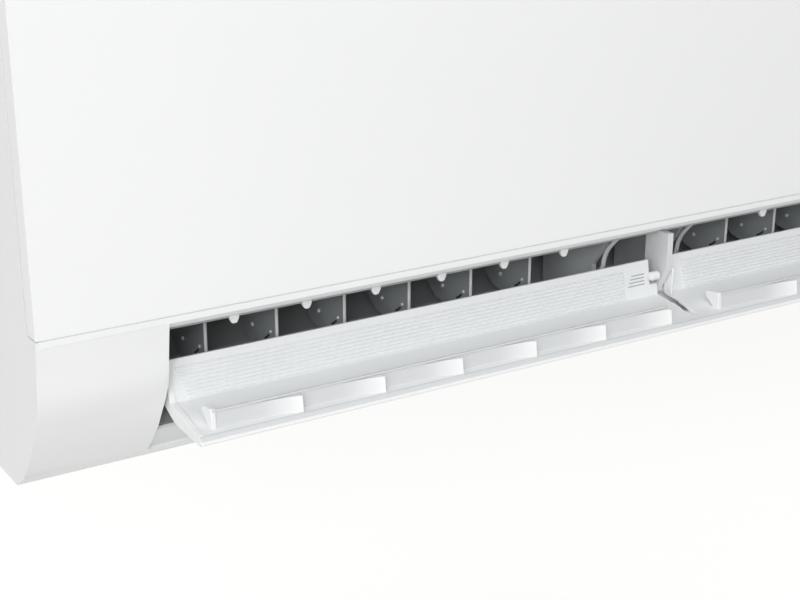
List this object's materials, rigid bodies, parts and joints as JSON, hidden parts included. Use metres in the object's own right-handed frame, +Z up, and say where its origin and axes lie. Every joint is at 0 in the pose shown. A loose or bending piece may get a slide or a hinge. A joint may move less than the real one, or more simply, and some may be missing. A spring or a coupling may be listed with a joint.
{
  "type": "mini split indoor unit",
  "caption": "Wall-hung indoor unit with a flat front panel, an open air flap with a ribbed inner skin, upright air guide vanes, cross-flow fan and coil.",
  "frame": {"origin": "centre of the mounting plate's back face, on the wall", "axes": "+X to the right seen from the room, +Y into the wall, +Z up"},
  "size_m": [0.81, 0.2258, 0.2906],
  "materials": {
    "white_abs": "satin",
    "satin_abs": "matte",
    "dark_abs": "matte",
    "black_abs": "matte",
    "zinc_steel": "satin",
    "aluminium_fin": "satin",
    "copper_tube": "satin",
    "brass_nut": "satin",
    "board": "matte",
    "filter_mesh": "matte",
    "rubber_seat": "matte"
  },
  "bodies": {
    "cabinet": {"mounting_plate": "zinc_steel", "rear_chassis": "satin_abs", "scroll_case": "dark_abs", "outlet_duct": "dark_abs", "drain_pan": "satin_abs", "centre_arm": "white_abs", "front_frame": "white_abs", "top_grille": "white_abs", "flap_motor": "satin_abs", "vane_carrier_left": "black_abs", "vane_carrier_right": "black_abs", "fan_bearing": "brass_nut", "bearing_rubber": "rubber_seat", "fan_motor": "satin_abs", "motor_saddle": "zinc_steel", "fin_pack_front": "aluminium_fin", "fin_pack_top": "aluminium_fin", "fin_pack_rear": "aluminium_fin", "coil_plate_left": "zinc_steel", "coil_plate_right": "copper_tube", "gas_pipe": "copper_tube", "liquid_pipe": "copper_tube", "gas_flare_nut": "brass_nut", "liquid_flare_nut": "brass_nut", "pipe_clamp": "satin_abs", "control_box": "zinc_steel", "control_lid": "zinc_steel", "circuit_board": "board", "terminal_block": "black_abs", "terminal_cover": "satin_abs", "receiver_lens": "black_abs", "receiver_board": "board", "casing_screw_1": "zinc_steel", "casing_screw_2": "zinc_steel"},
    "flap": {"flap_outer": "white_abs", "flap_inner": "white_abs", "flap_pin_left": "satin_abs", "flap_pin_right": "satin_abs", "flap_pin_centre": "satin_abs"},
    "fan": {"fan_rotor": "black_abs", "bearing_shaft": "zinc_steel", "motor_shaft": "zinc_steel"},
    "panel": {"front_panel": "white_abs"},
    "filter_left": {"filter_left": "filter_mesh"},
    "filter_right": {"filter_right": "filter_mesh"},
    "button": {"manual_button": "white_abs"},
    "vane_left_1": {"vane_left_1": "dark_abs"},
    "vane_left_2": {"vane_left_2": "dark_abs"},
    "vane_left_3": {"vane_left_3": "dark_abs"},
    "vane_left_4": {"vane_left_4": "dark_abs"},
    "vane_left_5": {"vane_left_5": "dark_abs"},
    "vane_left_6": {"vane_left_6": "dark_abs"},
    "link_left": {"link_rod_left": "black_abs"},
    "vane_right_1": {"vane_right_1": "dark_abs"},
    "vane_right_2": {"vane_right_2": "dark_abs"},
    "vane_right_3": {"vane_right_3": "dark_abs"},
    "vane_right_4": {"vane_right_4": "dark_abs"},
    "vane_right_5": {"vane_right_5": "dark_abs"},
    "vane_right_6": {"vane_right_6": "dark_abs"},
    "link_right": {"link_rod_right": "black_abs"}
  },
  "joints": [
    {"name": "flap_hinge", "type": "hinge", "parent": "cabinet", "child": "flap", "pos_m": [0, -0.1815, -0.0893], "axis": [1, 0, 0], "range_deg": [-82, 0]},
    {"name": "fan_spin", "type": "hinge", "parent": "cabinet", "child": "fan", "pos_m": [0, -0.092, -0.011], "axis": [1, 0, 0], "continuous": true},
    {"name": "panel_hinge", "type": "hinge", "parent": "cabinet", "child": "panel", "pos_m": [0, -0.192, 0.137], "axis": [-1, 0, 0], "range_deg": [0, 60]},
    {"name": "filter_left_slide", "type": "slide", "parent": "cabinet", "child": "filter_left", "axis": [0, 0, 1], "range_m": [0, 0.14]},
    {"name": "filter_right_slide", "type": "slide", "parent": "cabinet", "child": "filter_right", "axis": [0, 0, 1], "range_m": [0, 0.14]},
    {"name": "button_press", "type": "slide", "parent": "cabinet", "child": "button", "axis": [0, 1, 0], "range_m": [0, 0.0015], "stiffness_N_per_m": 400},
    {"name": "vane_left_1_turn", "type": "hinge", "parent": "cabinet", "child": "vane_left_1", "pos_m": [-0.0964, -0.138, -0.074], "axis": [0, 0, 1], "range_deg": [-30, 30]},
    {"name": "vane_left_2_turn", "type": "hinge", "parent": "cabinet", "child": "vane_left_2", "pos_m": [-0.1377, -0.138, -0.074], "axis": [0, 0, 1], "range_deg": [-30, 30]},
    {"name": "vane_left_3_turn", "type": "hinge", "parent": "cabinet", "child": "vane_left_3", "pos_m": [-0.179, -0.138, -0.074], "axis": [0, 0, 1], "range_deg": [-30, 30]},
    {"name": "vane_left_4_turn", "type": "hinge", "parent": "cabinet", "child": "vane_left_4", "pos_m": [-0.2203, -0.138, -0.074], "axis": [0, 0, 1], "range_deg": [-30, 30]},
    {"name": "vane_left_5_turn", "type": "hinge", "parent": "cabinet", "child": "vane_left_5", "pos_m": [-0.2616, -0.138, -0.074], "axis": [0, 0, 1], "range_deg": [-30, 30]},
    {"name": "vane_left_6_turn", "type": "hinge", "parent": "cabinet", "child": "vane_left_6", "pos_m": [-0.3029, -0.138, -0.074], "axis": [0, 0, 1], "range_deg": [-30, 30]},
    {"name": "link_left_pivot", "type": "hinge", "parent": "vane_left_3", "child": "link_left", "pos_m": [-0.179, -0.149, -0.096], "axis": [0, 0, 1], "range_deg": [-30, 30]},
    {"name": "vane_right_1_turn", "type": "hinge", "parent": "cabinet", "child": "vane_right_1", "pos_m": [0.0564, -0.138, -0.074], "axis": [0, 0, 1], "range_deg": [-30, 30]},
    {"name": "vane_right_2_turn", "type": "hinge", "parent": "cabinet", "child": "vane_right_2", "pos_m": [0.0977, -0.138, -0.074], "axis": [0, 0, 1], "range_deg": [-30, 30]},
    {"name": "vane_right_3_turn", "type": "hinge", "parent": "cabinet", "child": "vane_right_3", "pos_m": [0.139, -0.138, -0.074], "axis": [0, 0, 1], "range_deg": [-30, 30]},
    {"name": "vane_right_4_turn", "type": "hinge", "parent": "cabinet", "child": "vane_right_4", "pos_m": [0.1803, -0.138, -0.074], "axis": [0, 0, 1], "range_deg": [-30, 30]},
    {"name": "vane_right_5_turn", "type": "hinge", "parent": "cabinet", "child": "vane_right_5", "pos_m": [0.2216, -0.138, -0.074], "axis": [0, 0, 1], "range_deg": [-30, 30]},
    {"name": "vane_right_6_turn", "type": "hinge", "parent": "cabinet", "child": "vane_right_6", "pos_m": [0.2629, -0.138, -0.074], "axis": [0, 0, 1], "range_deg": [-30, 30]},
    {"name": "link_right_pivot", "type": "hinge", "parent": "vane_right_3", "child": "link_right", "pos_m": [0.139, -0.149, -0.096], "axis": [0, 0, 1], "range_deg": [-30, 30]}
  ],
  "couplings": [
    {"joint": "vane_left_2_turn", "follows": "vane_left_1_turn", "ratio": 1},
    {"joint": "vane_left_3_turn", "follows": "vane_left_1_turn", "ratio": 1},
    {"joint": "vane_left_4_turn", "follows": "vane_left_1_turn", "ratio": 1},
    {"joint": "vane_left_5_turn", "follows": "vane_left_1_turn", "ratio": 1},
    {"joint": "vane_left_6_turn", "follows": "vane_left_1_turn", "ratio": 1},
    {"joint": "link_left_pivot", "follows": "vane_left_1_turn", "ratio": -1},
    {"joint": "vane_right_2_turn", "follows": "vane_right_1_turn", "ratio": 1},
    {"joint": "vane_right_3_turn", "follows": "vane_right_1_turn", "ratio": 1},
    {"joint": "vane_right_4_turn", "follows": "vane_right_1_turn", "ratio": 1},
    {"joint": "vane_right_5_turn", "follows": "vane_right_1_turn", "ratio": 1},
    {"joint": "vane_right_6_turn", "follows": "vane_right_1_turn", "ratio": 1},
    {"joint": "link_right_pivot", "follows": "vane_right_1_turn", "ratio": -1}
  ]
}
